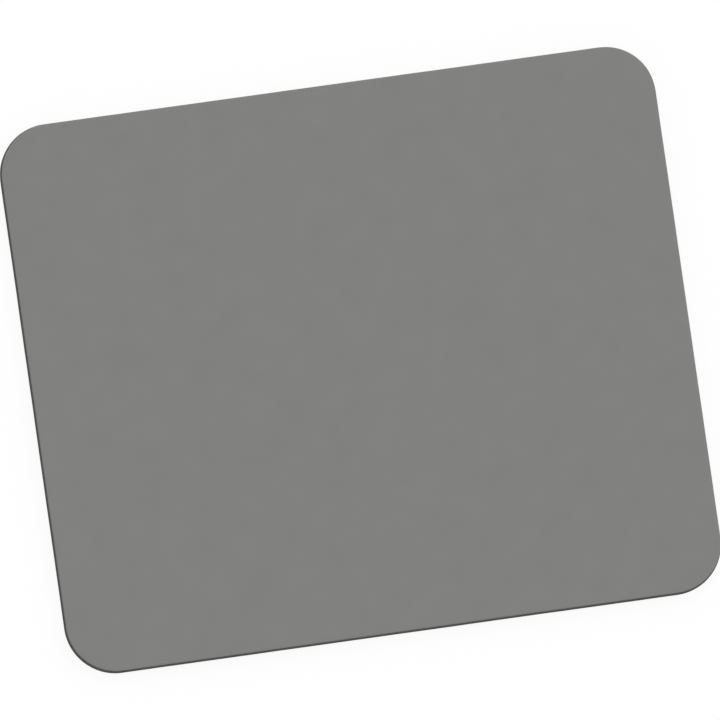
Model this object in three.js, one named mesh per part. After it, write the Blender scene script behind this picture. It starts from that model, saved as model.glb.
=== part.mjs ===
// A desk mouse pad, cut from a flat laminate: a knitted cloth face, a bonding film and a sponge-rubber base.
// Lengths are in millimetres. X runs along the pad's width, Y along its depth and Z up.
// The origin lies on the desk, under the middle of the pad.

import * as THREE from "three";

// Outline of the cloth face, seen from above
const faceWidth = 239;
const faceDepth = 199.7;
const cornerRadius = 18;

// Layers, from the face down
const clothThickness = 0.55;
const filmThickness = 0.15;
const baseThickness = 5.3;

// Cut edge: the blade presses the cloth over, and the squeezed sponge springs back hollow
const rollWidth = 1.1; // how far in from the edge the cloth begins to roll over
const rollDropShare = 0.55; // how much of its thickness the cloth loses in the roll
const footFlare = 0.5; // how far the foot of the wall stands out past the cloth's edge
const wallDish = 0.35; // how deep the wall hollows at half its height
const footRounding = 0.3; // radius of the worn edge that meets the desk
const filmRecess = 0.12; // how far the film's edge lies back from the wall

// Fineness of the round stretches
const cornerSteps = 24; // facets in a quarter turn of the outline
const wallSteps = 10;
const rollSteps = 6;
const footSteps = 4;

// Heights of the joints between the layers
const filmHeight = baseThickness;
const clothHeight = filmHeight + filmThickness;
const padHeight = clothHeight + clothThickness;
const wallHeight = padHeight - rollDropShare * clothThickness;

// How far the cut wall stands outside the face's outline at a height: a straight taper out to the foot,
// less a half wave that hollows it.
function wallOffset(height) {
  const share = (height - footRounding) / (wallHeight - footRounding);
  return footFlare * (1 - share) - wallDish * Math.sin(Math.PI * share);
}

// The rounded rectangle that lies the given distance outside the face's outline.
function outlineAt(offset) {
  const x = faceWidth / 2 + offset;
  const y = faceDepth / 2 + offset;
  const radius = cornerRadius + offset;
  const quarter = Math.PI / 2;
  const outline = new THREE.Shape();
  outline.absarc(x - radius, y - radius, radius, 0, quarter);
  outline.absarc(radius - x, y - radius, radius, quarter, 2 * quarter);
  outline.absarc(radius - x, radius - y, radius, 2 * quarter, 3 * quarter);
  outline.absarc(x - radius, radius - y, radius, 3 * quarter, 4 * quarter);
  const divisions = cornerSteps / 2; // a shape gives each arc twice as many facets as its divisions
  return outline.getPoints(divisions);
}

// Points of a profile between two heights of the wall, drawn back by the given recess.
function wallProfile(from, to, steps, recess = 0) {
  const points = [];
  for (let i = 0; i <= steps; i++) {
    const height = THREE.MathUtils.lerp(from, to, i / steps);
    points.push(new THREE.Vector2(wallOffset(height) - recess, height));
  }
  return points;
}

// Points of a quarter ellipse about a centre, from one angle to another.
function roundProfile(centre, radiusAcross, radiusUp, startAngle, endAngle, steps) {
  const curve = new THREE.EllipseCurve(centre.x, centre.y, radiusAcross, radiusUp, startAngle, endAngle);
  return curve.getPoints(steps);
}

// Two triangles for each step round the outline, between one ring of points and the ring above it.
function bandFaces(ring, count) {
  const faces = [];
  for (let i = 0; i < count; i++) {
    const next = (i + 1) % count;
    const low = ring * count;
    const high = low + count;
    faces.push(low + i, low + next, high + next);
    faces.push(low + i, high + next, high + i);
  }
  return faces;
}

// A fan from the middle of a ring, facing up or down.
function capFaces(ring, count, middle, facesUp) {
  const faces = [];
  for (let i = 0; i < count; i++) {
    const here = ring * count + i;
    const next = ring * count + ((i + 1) % count);
    faces.push(middle, ...(facesUp ? [here, next] : [next, here]));
  }
  return faces;
}

// A closed solid whose edge follows the profile all the way round the pad. The profile runs from the
// underside up: x is the distance outside the face's outline, and y is the height.
function laminateLayer(profile) {
  const rings = profile.map((point) => outlineAt(point.x));
  const count = rings[0].length;
  const positions = [];
  const faces = [];
  rings.forEach((ring, index) => {
    ring.forEach((point) => positions.push(point.x, point.y, profile[index].y));
  });
  for (let ring = 0; ring < rings.length - 1; ring++) {
    faces.push(...bandFaces(ring, count));
  }
  const underMiddle = rings.length * count;
  const topMiddle = underMiddle + 1;
  positions.push(0, 0, profile[0].y);
  positions.push(0, 0, profile[profile.length - 1].y);
  faces.push(...capFaces(0, count, underMiddle, false));
  faces.push(...capFaces(rings.length - 1, count, topMiddle, true));
  const geometry = new THREE.BufferGeometry();
  geometry.setAttribute("position", new THREE.Float32BufferAttribute(positions, 3));
  geometry.setIndex(faces);
  geometry.computeVertexNormals();
  return geometry;
}

function layerMesh(name, profile, material) {
  const mesh = new THREE.Mesh(laminateLayer(profile), material);
  mesh.name = name;
  return mesh;
}

// Sponge rubber: a rounded foot, then the hollow cut wall up to the film
function rubberBase() {
  const footCentre = new THREE.Vector2(footFlare - footRounding, footRounding);
  const foot = roundProfile(footCentre, footRounding, footRounding, -Math.PI / 2, 0, footSteps);
  const wall = wallProfile(footRounding, filmHeight, wallSteps);
  const material = new THREE.MeshStandardMaterial({ color: 0x4e4e4c, roughness: 0.9, metalness: 0 });
  return layerMesh("rubber_base", [...foot, ...wall.slice(1)], material);
}

// Hot-melt film that bonds the cloth to the rubber, its edge a little back from the wall
function bondingFilm() {
  const edge = wallProfile(filmHeight, clothHeight, 1, filmRecess);
  const material = new THREE.MeshStandardMaterial({ color: 0x5c5b57, roughness: 0.5, metalness: 0 });
  return layerMesh("bonding_film", edge, material);
}

// Knitted cloth: a short cut edge, then the roll up to the flat working face
function surfaceCloth() {
  const rollCentre = new THREE.Vector2(-rollWidth, wallHeight);
  const edge = wallProfile(clothHeight, wallHeight, 1);
  const roll = roundProfile(rollCentre, rollWidth, padHeight - wallHeight, 0, Math.PI / 2, rollSteps);
  const material = new THREE.MeshStandardMaterial({ color: 0x81817f, roughness: 0.85, metalness: 0 });
  return layerMesh("surface_cloth", [...edge, ...roll.slice(1)], material);
}

const mousePad = new THREE.Group();
mousePad.name = "mouse_pad";
mousePad.add(rubberBase(), bondingFilm(), surfaceCloth());

export default mousePad;
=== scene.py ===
import bpy
import math
import numpy as np
from mathutils import Matrix, Vector


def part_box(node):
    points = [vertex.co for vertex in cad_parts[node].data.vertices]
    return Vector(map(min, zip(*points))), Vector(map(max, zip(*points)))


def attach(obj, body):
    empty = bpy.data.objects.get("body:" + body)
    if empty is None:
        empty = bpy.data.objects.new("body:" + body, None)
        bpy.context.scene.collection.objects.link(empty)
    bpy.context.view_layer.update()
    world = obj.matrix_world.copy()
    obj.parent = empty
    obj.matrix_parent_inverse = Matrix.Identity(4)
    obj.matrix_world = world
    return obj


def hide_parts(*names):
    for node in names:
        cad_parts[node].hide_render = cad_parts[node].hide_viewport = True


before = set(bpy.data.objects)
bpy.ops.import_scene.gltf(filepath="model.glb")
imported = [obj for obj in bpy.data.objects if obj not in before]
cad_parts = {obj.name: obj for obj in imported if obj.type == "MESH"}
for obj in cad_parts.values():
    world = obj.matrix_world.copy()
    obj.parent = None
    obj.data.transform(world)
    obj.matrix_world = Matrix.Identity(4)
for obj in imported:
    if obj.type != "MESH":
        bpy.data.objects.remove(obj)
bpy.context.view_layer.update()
mm = 0.001
hair = 0.001 * mm        # lines and points closer than this count as one

# What the layers share: the outline of the cloth's cut edge and the cut wall under it
pad = {
    "cornerRadius": 18 * mm,     # of the cloth's outline
    "arcSteps": 24,              # grid rows in a quarter turn of the outline
    "footFlare": 0.5 * mm,       # how far the foot stands out past the cloth
    "wallDish": 0.35 * mm,       # how deep the cut wall hollows at half its height
    "footRounding": 0.3 * mm,
    "rollWidth": 1.1 * mm,       # the cloth's pressed-over edge
    "rollDropShare": 0.55,       # of the cloth's thickness
    "waver": 0.03 * mm,          # how far the blade wandered from the line
    "waverLengths": (11 * mm, 70 * mm),
    "waverSeed": 7,
}
clothLow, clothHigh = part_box("surface_cloth")
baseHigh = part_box("rubber_base")[1]
padHeight = clothHigh.z
wallHeight = padHeight - pad["rollDropShare"] * (clothHigh.z - clothLow.z)
halfFace = np.array([clothHigh.x, clothHigh.y])


# Adds a node and hands back one of its outputs. kind is the node's type, settings are set first, and
# inputs go by name or by number, each a value or a Wire.
def addNode(tree, kind, settings, output, inputs=()):
    node = tree.nodes.new(kind)
    for key, value in settings.items():
        setattr(node, key, value)
    for entry, value in dict(inputs).items():
        plug(tree, node.inputs[entry], value)
    return Wire(node.outputs[output])


def addMath(tree, operation, *values):
    return addNode(tree, "ShaderNodeMath", {"operation": operation}, 0, enumerate(values))


def plug(tree, entry, value):
    if isinstance(value, Wire):
        tree.links.new(value.socket, entry)
    else:
        entry.default_value = value


# A socket that takes part in sums as a number does; each operator adds a Math node
class Wire:
    def __init__(self, socket):
        self.socket = socket
        self.tree = socket.id_data

    def math(self, operation, *others):
        return addMath(self.tree, operation, self, *others)

    # Another output of the same node
    def beside(self, output):
        return Wire(self.socket.node.outputs[output])

    def __add__(self, other):
        return self.math("ADD", other)

    def __sub__(self, other):
        return self.math("SUBTRACT", other)

    def __rsub__(self, other):
        return addMath(self.tree, "SUBTRACT", other, self)

    def __mul__(self, other):
        return self.math("MULTIPLY", other)

    def __truediv__(self, other):
        return self.math("DIVIDE", other)

    __radd__ = __add__
    __rmul__ = __mul__


# One material, its Principled shader and the nodes that its patterns are made of
class Finish:
    def __init__(self, name, constants):
        self.material = bpy.data.materials.new(name)
        self.material.use_nodes = True
        self.tree = self.material.node_tree
        self.shader = self.tree.nodes["Principled BSDF"]
        for entry, value in constants.items():
            self.feed(entry, value)
        self.place = self.add("ShaderNodeTexCoord", {}, "Object")

    def add(self, *node):
        return addNode(self.tree, *node)

    def feed(self, entry, value):
        plug(self.tree, self.shader.inputs[entry], value)

    # A place's X, Y and Z
    def axes(self, place):
        across = self.add("ShaderNodeSeparateXYZ", {}, "X", {"Vector": place})
        return across, across.beside("Y"), across.beside("Z")

    def stretched(self, scale):
        return self.add("ShaderNodeMapping", {}, "Vector", {"Vector": self.place, "Scale": scale})

    # The place, moved by 0 to far along each axis by noise with lumps of the given size
    def bent(self, size, far):
        inputs = {"Vector": self.place, "Scale": 1 / size, "Detail": 1}
        drift = self.add("ShaderNodeTexNoise", {}, "Color", inputs)
        inputs = {0: drift, 1: (far, far, far), 2: self.place}
        return self.add("ShaderNodeVectorMath", {"operation": "MULTIPLY_ADD"}, "Vector", inputs)

    # Soft cloudy noise from 0 to 1, with lumps about the given size
    def noise(self, size, detail=2, place=None):
        inputs = {"Vector": place or self.place, "Scale": 1 / size, "Detail": detail}
        return self.add("ShaderNodeTexNoise", {}, "Fac", inputs)

    # Low where the value is below start, high where it is above end, and smooth between them
    def step(self, value, start, end, low=0, high=1):
        inputs = {"Value": value, "From Min": start, "From Max": end, "To Min": low, "To Max": high}
        return self.add("ShaderNodeMapRange", {"interpolation_type": "SMOOTHSTEP"}, "Result", inputs)

    # A colour from first to second. Sockets 6 and 7 of a Mix node are its colours, and output 2 theirs.
    def blend(self, factor, first, second):
        settings = {"data_type": "RGBA", "clamp_factor": True}
        return self.add("ShaderNodeMix", settings, 2, {0: factor, 6: first, 7: second})

    def bump(self, height, distance):
        inputs = {"Height": height, "Distance": distance, "Strength": 1.0}
        self.feed("Normal", self.add("ShaderNodeBump", {}, "Normal", inputs))


# Knitted cloth. Columns of stitches run along the depth, and in each one the yarn's two legs lean
# together in a V. Across a column the height is a hump over each leg, and along it a wave whose phase
# goes with the distance from the column's side. The height also paints the colour: painted shade in the
# valleys between the yarns and painted light on their crests. The pattern reads where the cloth lay
# before its edge was pressed over.
cloth = {
    # the next two colours are one grey yarn in painted shade and in painted light; the yarn's height
    # moves between them, and fibre and cloud add tone that differs at random
    "shadedYarn": (0.1685, 0.1680, 0.1627, 1),
    "litYarn": (0.2598, 0.2590, 0.2508, 1),
    "cutYarn": (0.105, 0.105, 0.101, 1),     # the cut edge, where the film has soaked in
    "columnPitch": 0.34 * mm,
    "stitchPitch": 0.26 * mm,
    "lean": 0.8,                 # of a stitch, from the column's side to its middle
    "valley": 0.4,               # of the yarn's height, left between two yarns
    "stray": 0.10 * mm,          # how far the yarns wander off the grid
    "strayLumps": 2.3 * mm,
    "fibre": 0.09 * mm,          # lumps of fuzz on the yarn
    "cloud": 9 * mm,             # lumps of paler and darker knit
    "baseTone": -0.28,           # 0 is the yarn in painted shade and 1 the yarn in painted light, with these three added
    "yarnShadeTone": 0.9,
    "fibreTone": 0.35,
    "cloudTone": 0.2,
    "cutTone": 0.8,              # how far the cut edge takes on its own colour
    "roughness": (0.95, 0.12),   # between the yarns, and how much less on them
    "relief": 0.010 * mm,
    "fibreRelief": 0.4,          # of the yarn's
    "shader": {"Sheen Weight": 0.12, "Sheen Roughness": 0.5, "Specular IOR Level": 0.25},
    "waves": 0.02 * mm,          # how far the face's crests and hollows may lie off its middle height
    "waveShare": 0.7,            # keeps the highest crest within that
    "waveLengths": (28 * mm, 90 * mm),
    "waveFade": 12 * mm,         # within this of the roll the waves die away
    "waveSeed": 3,
    "gridStep": 2 * mm,
    "rollSteps": 8,
}


def clothFinish():
    finish = Finish("knittedCloth", cloth["shader"])
    unrolled = finish.add("ShaderNodeAttribute", {"attribute_name": "unrolled"}, "Vector")
    across, along, _ = finish.axes(unrolled)
    stray = (finish.noise(cloth["strayLumps"], 1) - 0.5) * (2 * cloth["stray"])
    column = (across + stray) / cloth["columnPitch"]
    row = (along - stray) / cloth["stitchPitch"]
    side = column.math("PINGPONG", 0.5) * 2                  # 0 between columns, 1 in one's middle
    leg = side * (1 - side) * 4
    loop = (row + side * cloth["lean"]) * (2 * math.pi)
    crest = loop.math("COSINE") * 0.5 + 0.5
    valley = cloth["valley"]
    yarn = (leg * (1 - valley) + valley) * (crest * (1 - valley) + valley)
    fibre = finish.noise(cloth["fibre"], 2)
    cloud = finish.noise(cloth["cloud"], 3)
    # painted shade between the yarns and painted light on their crests, with random tone from fibre and
    # cloud
    tone = yarn * cloth["yarnShadeTone"] + fibre * cloth["fibreTone"] + cloud * cloth["cloudTone"]
    knit = finish.blend(tone + cloth["baseTone"], cloth["shadedYarn"], cloth["litYarn"])
    up = finish.axes(finish.place)[2]
    cut = finish.step(up, clothLow.z, wallHeight, 1, 0)
    finish.feed("Base Color", finish.blend(cut * cloth["cutTone"], knit, cloth["cutYarn"]))
    rough, smoother = cloth["roughness"]
    finish.feed("Roughness", rough - yarn * smoother)
    finish.bump(yarn + fibre * cloth["fibreRelief"], cloth["relief"])
    return finish.material


# Sponge rubber where the blade cut it: opened cells in three sizes, with painted shade inside them, and
# streaks and dust
cutSponge = {
    "dark": (0.022, 0.022, 0.0215, 1),       # inside a cell: painted shade in its hollow
    "pale": (0.0925, 0.0925, 0.0902, 1),
    # each size of cell, the share of them that the blade opened, and how much painted shade darkens them
    # inside
    "cells": ((0.16 * mm, 1.0, 0.6), (0.34 * mm, 0.8, 0.8), (0.85 * mm, 0.35, 1.0)),
    "cellRadii": (0.03, 0.47),   # of its size, for a closed cell and for the widest
    "cellDepth": 0.45,           # of its size
    "bend": (0.16 * mm, 0.12 * mm),          # lumps and reach of what puts the cells out of round
    "streak": 0.3 * mm,          # across, drawn down the wall by the blade
    "streakSquash": 0.08,
    "streakRelief": 0.02 * mm,
    "dust": 0.1 * mm,
    "dustRelief": 0.01 * mm,
    "cloud": 5 * mm,
    "baseTone": 0.45,            # 0 is dark and 1 pale, less the painted shade in the cells and with the next three added
    "cellShadeTone": 0.5,
    "streakTone": 0.25,
    "dustTone": 0.3,
    "cloudTone": 0.2,
    "roughness": (0.8, 0.15),    # between the cells, and how much more in them
    "shader": {"Specular IOR Level": 0.3},
}


# Round-bottomed cells: sqrt(1 - (distance / radius)^2), so 1 in the middle of a cell, and 0 at its rim
# and on the rubber between. Each cell draws its own radius, and closed ones draw hardly any.
def openCells(finish, place, size, openShare):
    near = finish.add("ShaderNodeTexVoronoi", {}, "Distance", {"Vector": place, "Scale": 1 / size})
    chance = finish.add("ShaderNodeSeparateColor", {}, "Red", {"Color": near.beside("Color")})
    radius = finish.step(chance, 1 - openShare, 1, *cutSponge["cellRadii"])
    reach = (near / radius).math("MINIMUM", 1)
    return (1 - reach * reach).math("SQRT")


def cutSpongeFinish():
    finish = Finish("cutSpongeRubber", cutSponge["shader"])
    place = finish.bent(*cutSponge["bend"])
    dark, depth = 0, 0
    # dark gathers the painted shade of the darkest cell at each point, depth the deepest hollow
    for size, openShare, shade in cutSponge["cells"]:
        bowl = openCells(finish, place, size, openShare)
        dark = (bowl * shade).math("MAXIMUM", dark)
        depth = (bowl * (size * cutSponge["cellDepth"])).math("MAXIMUM", depth)
    down = finish.stretched((1, 1, cutSponge["streakSquash"]))
    streak = finish.noise(cutSponge["streak"], 2, down)
    dust = finish.noise(cutSponge["dust"], 2)
    cloud = finish.noise(cutSponge["cloud"], 2)
    # the cells' hollows are painted darker as shade; streaks, dust and cloud are the rubber's own tone
    tone = cutSponge["baseTone"] - dark * cutSponge["cellShadeTone"] + streak * cutSponge["streakTone"]
    tone = tone + dust * cutSponge["dustTone"] + cloud * cutSponge["cloudTone"]
    finish.feed("Base Color", finish.blend(tone, cutSponge["dark"], cutSponge["pale"]))
    rough, rougher = cutSponge["roughness"]
    finish.feed("Roughness", rough + dark * rougher)
    relief = streak * cutSponge["streakRelief"] + dust * cutSponge["dustRelief"] - depth
    finish.bump(relief, 1.0)
    return finish.material


# The skin that the mould left on the sponge rubber's underside
mouldedSkin = {
    "dark": (0.046, 0.046, 0.0445, 1),
    "pale": (0.092, 0.092, 0.090, 1),
    "grain": 0.16 * mm,
    "relief": 0.015 * mm,
    "pinhole": (1.1 * mm, 0.12),             # spacing, and the share of the places that have one
    "cloud": 14 * mm,
    "polishAndSheen": (0.02 * mm, 0.12 * mm),        # heights between which the ridges' polish and painted sheen end
    "baseTone": -0.15,           # 0 is dark and 1 pale, with the next three added, less the pinholes
    "grainTone": 0.6,
    "cloudTone": 0.5,
    "ridgeSheenTone": 0.22,
    # how dark the pinholes are painted, as shade in their hollows
    "pinholeShadeTone": 0.8,
    "pinholeRelief": 3,          # of the grain's
    "roughness": (0.7, 0.2, 0.14),           # how much more with the grain, and less on the polished ridges
    "shader": {"Specular IOR Level": 0.35},
}


def mouldedSkinFinish():
    finish = Finish("mouldedRubberSkin", mouldedSkin["shader"])
    up = finish.axes(finish.place)[2]
    polishAndSheen = finish.step(up, *mouldedSkin["polishAndSheen"], 1, 0)
    pinholes = openCells(finish, finish.place, *mouldedSkin["pinhole"])
    grain = finish.noise(mouldedSkin["grain"], 3)
    cloud = finish.noise(mouldedSkin["cloud"], 3)
    # the ridges that touch the desk are painted paler as sheen, and their polish makes them smoother
    tone = grain * mouldedSkin["grainTone"] + cloud * mouldedSkin["cloudTone"]
    # the pinholes are painted darker as shade in their hollows
    tone = tone + polishAndSheen * mouldedSkin["ridgeSheenTone"] - pinholes * mouldedSkin["pinholeShadeTone"]
    tone = tone + mouldedSkin["baseTone"]
    finish.feed("Base Color", finish.blend(tone, mouldedSkin["dark"], mouldedSkin["pale"]))
    rough, rougher, smoother = mouldedSkin["roughness"]
    finish.feed("Roughness", rough + grain * rougher - polishAndSheen * smoother)
    finish.bump(grain - pinholes * mouldedSkin["pinholeRelief"], mouldedSkin["relief"])
    return finish.material


# Hot-melt film between the cloth and the rubber
film = {
    "dark": (0.085, 0.084, 0.079, 1),
    "pale": (0.135, 0.133, 0.125, 1),
    "blobs": 0.5 * mm,
    "relief": 0.01 * mm,
    "roughness": (0.38, 0.25),   # in the hollows, and how much more on a blob
    "shader": {"Specular IOR Level": 0.5},
}


def filmFinish():
    finish = Finish("bondingFilm", film["shader"])
    blobs = finish.noise(film["blobs"], 3)
    finish.feed("Base Color", finish.blend(blobs, film["dark"], film["pale"]))
    rough, rougher = film["roughness"]
    finish.feed("Roughness", rough + blobs * rougher)
    finish.bump(blobs, film["relief"])
    return finish.material


# A smooth field of about -1 to 1: plane waves of random length, heading and phase, added up
def randomWaves(points, lengths, seed, count=14):
    chance = np.random.default_rng(seed)
    heading = chance.uniform(0, 2 * np.pi, count)
    turns = 2 * np.pi / chance.uniform(*lengths, count)
    phase = chance.uniform(0, 2 * np.pi, count)
    along = points[..., :1] * np.cos(heading) + points[..., 1:2] * np.sin(heading)
    return np.sin(along * turns + phase).sum(-1) / math.sqrt(2 * count)


# How far the cut edge lies out of line at each point
def waver(points):
    return pad["waver"] * randomWaves(points, pad["waverLengths"], pad["waverSeed"])


# 0 below start, 1 above end, and s^2 (3 - 2 s) between them, where s is the share of the way
def smooth(value, start, end):
    share = np.clip((value - start) / (end - start), 0, 1)
    return share * share * (3 - 2 * share)


# How far the cut wall stands out past the cloth at a height: a straight taper to the foot, less a
# half wave that hollows it
def wallOffset(height):
    share = (height - pad["footRounding"]) / (wallHeight - pad["footRounding"])
    return pad["footFlare"] * (1 - share) - pad["wallDish"] * np.sin(np.pi * share)


# Points of an ellipse's arc: middle + (across cos a, up sin a)
def arcPoints(middle, across, up, start, end, steps):
    angle = np.linspace(start, end, steps + 1)
    return np.stack([middle[0] + across * np.cos(angle), middle[1] + up * np.sin(angle)], 1)


# Evenly spaced lines from -half to half, at most a step apart
def evenLines(half, step):
    count = 2 * math.ceil(half / step)
    return np.linspace(-half, half, count + 1)


# All the lines in order, without those that nearly touch the one before
def mergedLines(*lines):
    every = np.sort(np.concatenate(lines))
    apart = np.diff(every) > hair
    return every[np.append(True, apart)]


# A rounded rectangle round the origin, seen from above
class Outline:
    def __init__(self, half, radius):
        self.half = half             # half its width and half its depth
        self.radius = radius         # of its corners

    # How far it reaches along X (axis 0) or Y (axis 1), where the other coordinate is the one given:
    # half - r + sqrt(r^2 - past^2), with past the way that the other has gone into the corner
    def reach(self, axis, other):
        past = np.clip(np.abs(other) - (self.half[1 - axis] - self.radius), 0, self.radius)
        return self.half[axis] - self.radius + np.sqrt(self.radius ** 2 - past ** 2)

    # How far inside it each point lies, along X or Y
    def room(self, axis, points):
        return self.reach(axis, points[:, 1 - axis]) - np.abs(points[:, axis])

    # The same along X or Y, whichever is less
    def inset(self, points):
        return np.minimum(self.room(0, points), self.room(1, points))

    # Points on it, moved straight out by each row of offsets in turn
    def carry(self, points, offsets):
        past = np.maximum(np.abs(points) - (self.half - self.radius), 0) * np.sign(points)
        outwards = past / np.linalg.norm(past, axis=1, keepdims=True)
        return points + outwards * offsets[..., None]

    # Rows that cross a corner's arc at equal angles: half - r + r sin a, above and below the middle
    def arcRows(self):
        angle = np.linspace(0, np.pi / 2, pad["arcSteps"] + 1)
        up = self.half[1] - self.radius + self.radius * np.sin(angle)
        return np.concatenate([-up, up])

    # A grid of columns by rows inside it. A point outside slides along its row to the outline, and
    # points that then coincide are joined. Returns the points, the faces, and the numbers of the
    # points on the outline, anticlockwise.
    def grid(self, columns, rows):
        wide = len(columns)
        reach = self.reach(0, rows)[:, None]
        x = np.clip(columns, -reach, reach)
        points = np.stack(np.broadcast_arrays(x, rows[:, None]), -1).reshape(-1, 2)
        # the columns where each row meets the outline on the left and on the right
        inside = np.abs(columns) < reach - hair
        first = inside.argmax(1) - 1
        last = wide - inside[:, ::-1].argmax(1)
        column = np.clip(np.arange(wide), first[:, None], last[:, None])
        number = column + np.arange(len(rows))[:, None] * wide
        # where a quad's low or high side has shrunk to a point it is a triangle, and where both have
        # it is nothing
        corners = [number[:-1, :-1], number[:-1, 1:], number[1:, 1:], number[1:, :-1]]
        faces = np.stack(corners, -1).reshape(-1, 4)
        flatLow, flatHigh = faces[:, 0] == faces[:, 1], faces[:, 2] == faces[:, 3]
        faces[flatLow] = faces[flatLow][:, [1, 2, 3, 3]]
        faces = faces[~(flatLow & flatHigh)]
        rim = np.concatenate([number[:, -1], number[-1, ::-1], number[::-1, 0], number[0, :]])
        rim = rim[rim != np.roll(rim, 1)]
        # the points in use, numbered afresh
        used, again = np.unique(faces, return_inverse=True)
        place = np.zeros(len(points), int)
        place[used] = np.arange(len(used))
        return points[used], again.reshape(-1, 4), place[rim]


# Faces are rows of four corners, in which a triangle repeats its last one
def isTriangle(faces):
    return faces[:, 2] == faces[:, 3]


def turnedOver(faces):
    return np.where(isTriangle(faces)[:, None], faces[:, [2, 1, 0, 0]], faces[:, [3, 2, 1, 0]])


def meshed(name, points, faces, kind, materials):
    corners = np.where(isTriangle(faces), 3, 4)
    keep = np.arange(4) < corners[:, None]
    mesh = bpy.data.meshes.new(name)
    mesh.vertices.add(len(points))
    mesh.vertices.foreach_set("co", points.astype(np.float32).ravel())
    mesh.loops.add(int(corners.sum()))
    mesh.loops.foreach_set("vertex_index", faces[keep].astype(np.int32))
    mesh.polygons.add(len(faces))
    mesh.polygons.foreach_set("loop_start", (np.cumsum(corners) - corners).astype(np.int32))
    for material in materials:
        mesh.materials.append(material)
    mesh.polygons.foreach_set("material_index", kind)
    mesh.polygons.foreach_set("use_smooth", np.ones(len(faces), bool))
    mesh.update(calc_edges=True)
    thing = bpy.data.objects.new(name, mesh)
    bpy.context.scene.collection.objects.link(thing)
    return thing


# A closed layer: the grid as its large face, then rings that carry the outline away from it, each by
# a row of offsets and a row of levels, and a fan that closes the other side. The large face has the
# last material and the rest the first.
def layer(name, outline, grid, heights, offsets, levels, facesUp, materials):
    flat, faces, rim = grid
    offsets, levels = np.broadcast_arrays(offsets, levels)
    rings, count = levels.shape
    around = np.concatenate([outline.carry(flat[rim], offsets), levels[..., None]], -1)
    middle = [[0, 0, levels[-1].mean()]]
    points = np.concatenate([np.column_stack([flat, heights]), around.reshape(-1, 3), middle])
    numbers = len(flat) + np.arange(rings * count).reshape(rings, count)
    numbers = np.concatenate([rim[None], numbers])
    ahead = np.roll(numbers, -1, axis=1)
    bands = np.stack([numbers[:-1], numbers[1:], ahead[1:], ahead[:-1]], -1).reshape(-1, 4)
    fan = np.stack([np.full(count, len(points) - 1), ahead[-1], numbers[-1], numbers[-1]], -1)
    allFaces = np.concatenate([faces, bands, fan])
    kind = np.zeros(len(allFaces), np.int32)
    kind[:len(faces)] = len(materials) - 1
    return meshed(name, points, allFaces if facesUp else turnedOver(allFaces), kind, materials)


# The cloth's flat face, its pressed-over edge and the short cut wall under that. The attribute
# "unrolled" holds where each point lay before the edge was pressed: as far out as it is along the roll.
def clothPiece():
    face = Outline(halfFace - pad["rollWidth"], pad["cornerRadius"] - pad["rollWidth"])
    columns = evenLines(face.half[0], cloth["gridStep"])
    rows = mergedLines(evenLines(face.half[1], cloth["gridStep"]), face.arcRows())
    grid = face.grid(columns, rows)
    flat, _, rim = grid
    waves = randomWaves(flat, cloth["waveLengths"], cloth["waveSeed"])
    waves *= smooth(face.inset(flat), 0, cloth["waveFade"])
    heights = padHeight - cloth["waves"] + cloth["waves"] * waves * cloth["waveShare"]
    drop = padHeight - cloth["waves"] - wallHeight
    roll = arcPoints((0, wallHeight), pad["rollWidth"], drop, np.pi / 2, 0, cloth["rollSteps"])
    profile = np.append(roll, [[pad["rollWidth"] + wallOffset(clothLow.z), clothLow.z]], 0)
    offsets, levels = profile[1:].T[..., None]
    wander = waver(flat[rim]) * smooth(offsets, 0, pad["rollWidth"])
    materials = [clothFinish()]
    piece = layer("clothFace", face, grid, heights, offsets + wander, levels, True, materials)
    travel = np.cumsum(np.hypot(*np.diff(profile, axis=0).T))      # along the profile, to each ring
    pressed = face.carry(flat[rim], travel[:, None]).reshape(-1, 2)
    unrolled = np.zeros((len(piece.data.vertices), 3), np.float32)
    unrolled[:-1, :2] = np.concatenate([flat, pressed])
    attribute = piece.data.attributes.new("unrolled", "FLOAT_VECTOR", "POINT")
    attribute.data.foreach_set("vector", unrolled.ravel())
    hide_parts("surface_cloth")
    return piece


# The rubber base, with its moulded grip: ridges that run across the underside in waves
base = {
    "wallSteps": 12,
    "footSteps": 4,
    "pitch": 3.2 * mm,           # of the ridges
    "ridgeShare": 0.42,          # of the pitch, flat on the desk
    "flankShare": 0.12,          # of the pitch, each slope
    "depth": 0.30 * mm,
    "wave": 12.8 * mm,
    "sway": 1.1 * mm,
    "columnsPerWave": 10,
    "straighten": 3 * mm,        # within this of the front and back edge the grid goes straight
    "pressed": 2.5 * mm,         # within this of the edge the blade has pressed the grooves shallow
    "edgeShare": 0.15,           # of the depth, left at the edge
    "notchHeight": 1.0 * mm,     # how far up the wall the grooves' ends still show
}


# How far the ridges lie from their straight lines: a sine wave along X
def swayAt(x):
    return base["sway"] * np.sin(x * 2 * np.pi / base["wave"])


# Height of the underside: 0 on a ridge and the full depth in a groove, with a smooth flank between
def gripLevel(points):
    line = points[:, 1] - swayAt(points[:, 0])
    share = np.abs((line / base["pitch"] + 0.5) % 1 - 0.5)         # of the pitch, from a ridge's middle
    ridge = base["ridgeShare"] / 2
    return base["depth"] * smooth(share, ridge, ridge + base["flankShare"])


# Rows along both edges of each ridge's top and along the foot of both its flanks
def gripRows(half):
    ridge, flank = base["ridgeShare"] / 2, base["flankShare"]
    edges = np.array([-ridge - flank, -ridge, ridge, ridge + flank])
    ridges = math.ceil(half / base["pitch"])
    rows = (np.arange(-ridges, ridges + 1)[:, None] + edges) * base["pitch"]
    return rows[np.abs(rows) < half]


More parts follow.
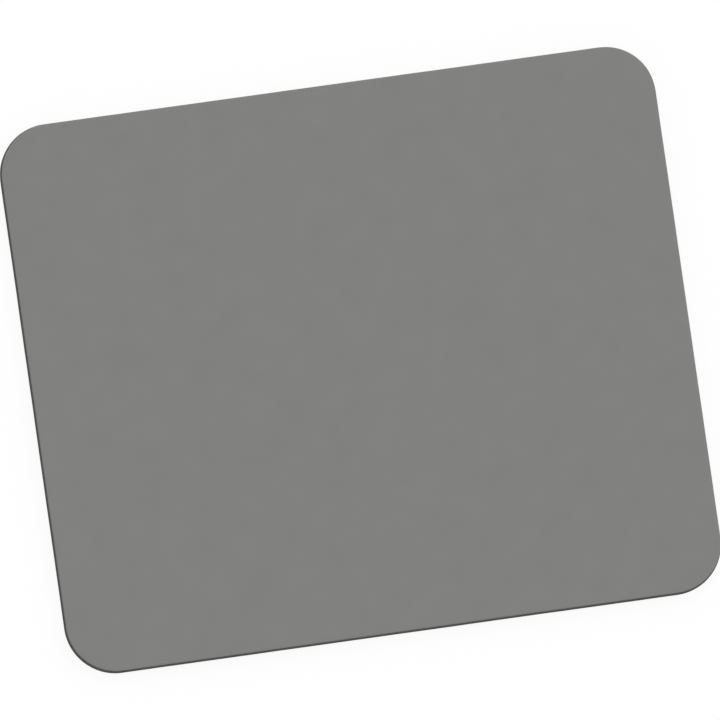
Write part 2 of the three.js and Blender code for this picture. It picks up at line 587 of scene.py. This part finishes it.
def basePiece():
    grow = pad["footFlare"] - pad["footRounding"]
    foot = Outline(halfFace + grow, pad["cornerRadius"] + grow)
    columns = evenLines(foot.half[0], base["wave"] / base["columnsPerWave"])
    rows = mergedLines(gripRows(foot.half[1]), foot.arcRows(), [-foot.half[1], foot.half[1]])
    flat, faces, rim = foot.grid(columns, rows)
    flat[:, 1] += swayAt(flat[:, 0]) * smooth(foot.room(1, flat), 0, base["straighten"])
    pressed = smooth(foot.inset(flat), 0, base["pressed"])
    heights = gripLevel(flat) * (base["edgeShare"] + (1 - base["edgeShare"]) * pressed)
    rounding = pad["footRounding"]
    turn = arcPoints((0, rounding), rounding, rounding, -np.pi / 2, 0, base["footSteps"])
    wall = np.linspace(rounding, baseHigh.z, base["wallSteps"] + 1)[1:]
    wall = np.stack([wallOffset(wall) - grow, wall], 1)
    offsets, levels = np.concatenate([turn[1:], wall]).T[..., None]
    wander = waver(flat[rim]) * np.minimum(1, levels / rounding)
    notches = heights[rim] * np.maximum(0, 1 - levels / base["notchHeight"])
    materials = [cutSpongeFinish(), mouldedSkinFinish()]
    grid = flat, faces, rim
    piece = layer("spongeBase", foot, grid, heights, offsets + wander, levels + notches, False, materials)
    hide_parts("rubber_base")
    return piece


# The photograph's view, measured in its 720 by 720 pixels
view = {
    "framePx": 720,
    "facePx": 661.4,             # the cloth face's width
    "faceMiddlePx": (361.45, 358.4),
    "turn": math.radians(8.06),  # the pad's width rises to the right
    "tilt": math.radians(5.5),   # the camera leans this far towards the pad's front left corner
    "lens": 1000.0,
    "sensor": 36.0,
    "clipEnd": 100.0,
}


# The direction, as a camera that looks along -back sees it
def flattened(direction, back):
    return (direction - back * direction.dot(back)).normalized()


def placeCamera():
    data = bpy.data.cameras.new("camera")
    data.lens = view["lens"]
    data.sensor_width = view["sensor"]
    data.clip_end = view["clipEnd"]
    camera = bpy.data.objects.new("camera", data)
    bpy.context.scene.collection.objects.link(camera)
    lean = math.sin(view["tilt"]) / math.sqrt(2)
    back = Vector((-lean, -lean, math.cos(view["tilt"])))
    # half a right angle and the turn lie between the picture's right and the pad's diagonal
    width, depth = flattened(Vector((1, 0, 0)), back), flattened(Vector((0, 1, 0)), back)
    diagonal = (width + depth).normalized()
    right = Matrix.Rotation(-(math.pi / 4 + view["turn"]), 3, back) @ diagonal
    up = back.cross(right)
    perPixel = 2 * halfFace[0] / view["facePx"]
    aside = (view["framePx"] / 2 - view["faceMiddlePx"][0]) * perPixel
    above = (view["faceMiddlePx"][1] - view["framePx"] / 2) * perPixel
    target = Vector((0, 0, padHeight)) + right * aside + up * above
    distance = view["framePx"] * perPixel * view["lens"] / view["sensor"]
    camera.matrix_world = Matrix((right, up, back)).transposed().to_4x4()
    camera.location = target + back * distance
    bpy.context.scene.camera = camera


# Plain studio: a white floor and sky, and one broad lamp from the upper right
studio = {
    "skyStrength": 0.62,
    "lampStrength": 1.30,
    "lampAngle": math.radians(70),
    "lampFrom": (0.35, 0.45, 1.0),
    "floorColour": (0.80, 0.80, 0.80, 1),
    "floorHalf": 16.0,
    "floorGlow": 0.90,           # share of the floor's look that doesn't take a shadow
}
white = (1, 1, 1, 1)


# 1 for a ray from the camera and for one that shows the background in a glossy or clear surface
def seenDirectly(tree):
    camera = addNode(tree, "ShaderNodeLightPath", {}, "Is Camera Ray")
    glossy = camera.math("MAXIMUM", camera.beside("Is Glossy Ray"))
    return glossy.math("MAXIMUM", camera.beside("Is Transmission Ray"))


def litWorld():
    world = bpy.data.worlds.new("sky")
    bpy.context.scene.world = world
    world.use_nodes = True
    background = world.node_tree.nodes["Background"]
    background.inputs["Color"].default_value = white
    seen = seenDirectly(world.node_tree)
    sky = seen * (1 - studio["skyStrength"]) + studio["skyStrength"]
    plug(world.node_tree, background.inputs["Strength"], sky)


def floorFinish():
    finish = Finish("paleFloor", {"Roughness": 1.0, "Specular IOR Level": 0.0})
    seen = seenDirectly(finish.tree)
    finish.feed("Base Color", finish.blend(seen, studio["floorColour"], white))
    glow = finish.add("ShaderNodeEmission", {}, "Emission", {"Strength": 1.0})
    inputs = {0: seen * studio["floorGlow"], 1: Wire(finish.shader.outputs[0]), 2: glow}
    mixed = finish.add("ShaderNodeMixShader", {}, 0, inputs)
    plug(finish.tree, finish.tree.nodes["Material Output"].inputs["Surface"], mixed)
    return finish.material


def floorPiece():
    half = studio["floorHalf"]
    corners = np.array([[-half, -half, 0], [half, -half, 0], [half, half, 0], [-half, half, 0]])
    floor = meshed("floor", corners, np.array([[0, 1, 2, 3]]), np.zeros(1, np.int32), [floorFinish()])


def lampPiece():
    data = bpy.data.lights.new("lamp", "SUN")
    data.energy = studio["lampStrength"]
    data.angle = studio["lampAngle"]
    lamp = bpy.data.objects.new("lamp", data)
    lamp.rotation_mode = "QUATERNION"
    lamp.rotation_quaternion = Vector(studio["lampFrom"]).to_track_quat("Z", "Y")
    bpy.context.scene.collection.objects.link(lamp)


bpy.context.scene.view_settings.view_transform = "Standard"
placeCamera()
litWorld()
lampPiece()
floorPiece()
print("studio and camera placed")

for piece in (clothPiece(), basePiece()):
    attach(piece, "root")
    print(piece.name, len(piece.data.polygons), "faces")

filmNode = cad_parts["bonding_film"]
filmNode.material_slots[0].material = filmFinish()
print("film finished")
